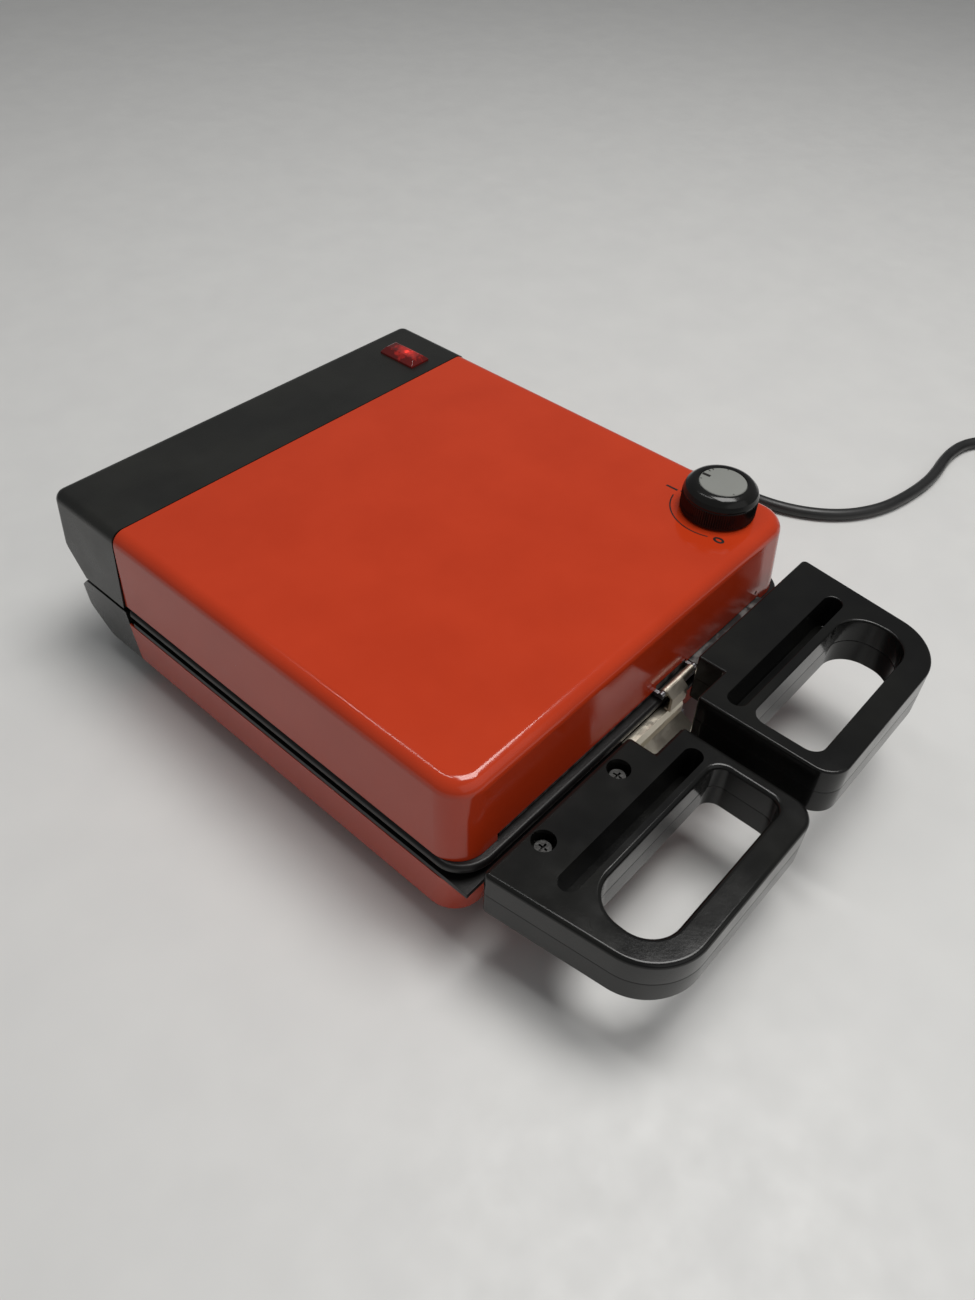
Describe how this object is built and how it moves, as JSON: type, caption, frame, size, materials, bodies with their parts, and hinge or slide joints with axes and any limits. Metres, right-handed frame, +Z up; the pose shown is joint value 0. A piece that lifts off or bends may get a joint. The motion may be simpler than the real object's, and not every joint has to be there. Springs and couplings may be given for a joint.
{
  "type": "waffle maker",
  "caption": "Hinged electric waffle maker with a pressed-steel lid and base, two offset loop handles, a thermostat knob, a pilot light and a free mains cord.",
  "frame": {"origin": "on the table, under the middle of the machine without its cord", "axes": "+Z up, -Y toward the user and the handles, +Y toward the hinge, +X toward the thermostat knob's side"},
  "size_m": [0.694, 0.5346, 0.1199],
  "materials": {
    "red_enamel": "gloss orange-red stoving enamel on pressed steel",
    "black_moulding": "black phenolic moulding, fine satin gloss",
    "black_bakelite": "glossy black phenolic moulding",
    "coated_plate": "cast aluminium with a dark non-stick coat",
    "black_steel": "black painted steel strip",
    "zinc_steel": "zinc-plated steel",
    "bright_steel": "bright plated spring steel",
    "heater_sheath": "heat-darkened sheath",
    "reflector_sheet": "plain rolled aluminium sheet",
    "switch_moulding": "cream heat-proof moulding",
    "knob_black": "black moulded knob, fine vertical ribs",
    "knob_grey": "mid-grey satin disc",
    "red_lens": "translucent red moulding",
    "lamp_glass": "small neon lamp",
    "foot_rubber": "moulded black rubber",
    "ceramic": "unglazed white ceramic",
    "brass": "turned brass",
    "nickel": "nickel-plated brass pins",
    "cord_rubber": "black sheathed mains cord",
    "plug_moulding": "black moulded plug"
  },
  "bodies": {
    "base": {"lower_shell": "red_enamel", "lower_rear_cover": "black_moulding", "lower_waffle_plate": "coated_plate", "lower_handle": "black_bakelite", "lower_handle_bracket": "black_steel", "lower_handle_screws": "zinc_steel", "lower_hinge_brackets": "zinc_steel", "hinge_pins": "zinc_steel", "lower_heating_element": "heater_sheath", "lower_heat_reflector": "reflector_sheet", "lower_plate_posts": "zinc_steel", "lower_clip_pin": "zinc_steel", "rubber_feet": "foot_rubber", "foot_screws": "zinc_steel", "terminal_block": "ceramic", "terminal_screws": "brass", "cord_strain_relief": "cord_rubber", "mains_cord": "cord_rubber", "mains_cord_coil": "cord_rubber", "plug": "plug_moulding", "plug_pins": "nickel"},
    "lid": {"upper_shell": "red_enamel", "upper_rear_cover": "black_moulding", "upper_waffle_plate": "coated_plate", "upper_handle": "black_bakelite", "upper_handle_bracket": "black_steel", "upper_handle_screws": "zinc_steel", "upper_hinge_brackets": "zinc_steel", "upper_heating_element": "heater_sheath", "upper_heat_reflector": "reflector_sheet", "upper_plate_posts": "zinc_steel", "thermostat_body": "switch_moulding", "pilot_light_lens": "red_lens", "pilot_light_lamp": "lamp_glass", "upper_clip_pin": "zinc_steel"},
    "knob": {"thermostat_knob": "knob_black", "knob_cap": "knob_grey", "thermostat_shaft": "zinc_steel"},
    "upper_clip": {"upper_plate_clip": "bright_steel"},
    "lower_clip": {"lower_plate_clip": "bright_steel"}
  },
  "joints": [
    {"name": "lid_hinge", "type": "hinge", "parent": "base", "child": "lid", "pos_m": [0, 0.1815, 0.0527], "axis": [-1, 0, 0], "range_deg": [0, 95]},
    {"name": "knob_turn", "type": "hinge", "parent": "lid", "child": "knob", "pos_m": [0.104, -0.0654, 0.11], "axis": [0, 0, 1], "range_deg": [0, 123]},
    {"name": "upper_clip_press", "type": "hinge", "parent": "lid", "child": "upper_clip", "pos_m": [0.02375, -0.1035, 0.0587], "axis": [1, 0, 0], "range_deg": [-12, 0], "stiffness_Nm_per_rad": 0.3, "springref_deg": 2.86},
    {"name": "lower_clip_press", "type": "hinge", "parent": "base", "child": "lower_clip", "pos_m": [0.0025, -0.1075, 0.0364], "axis": [1, 0, 0], "range_deg": [0, 8], "stiffness_Nm_per_rad": 0.3, "springref_deg": -2.86}
  ]
}
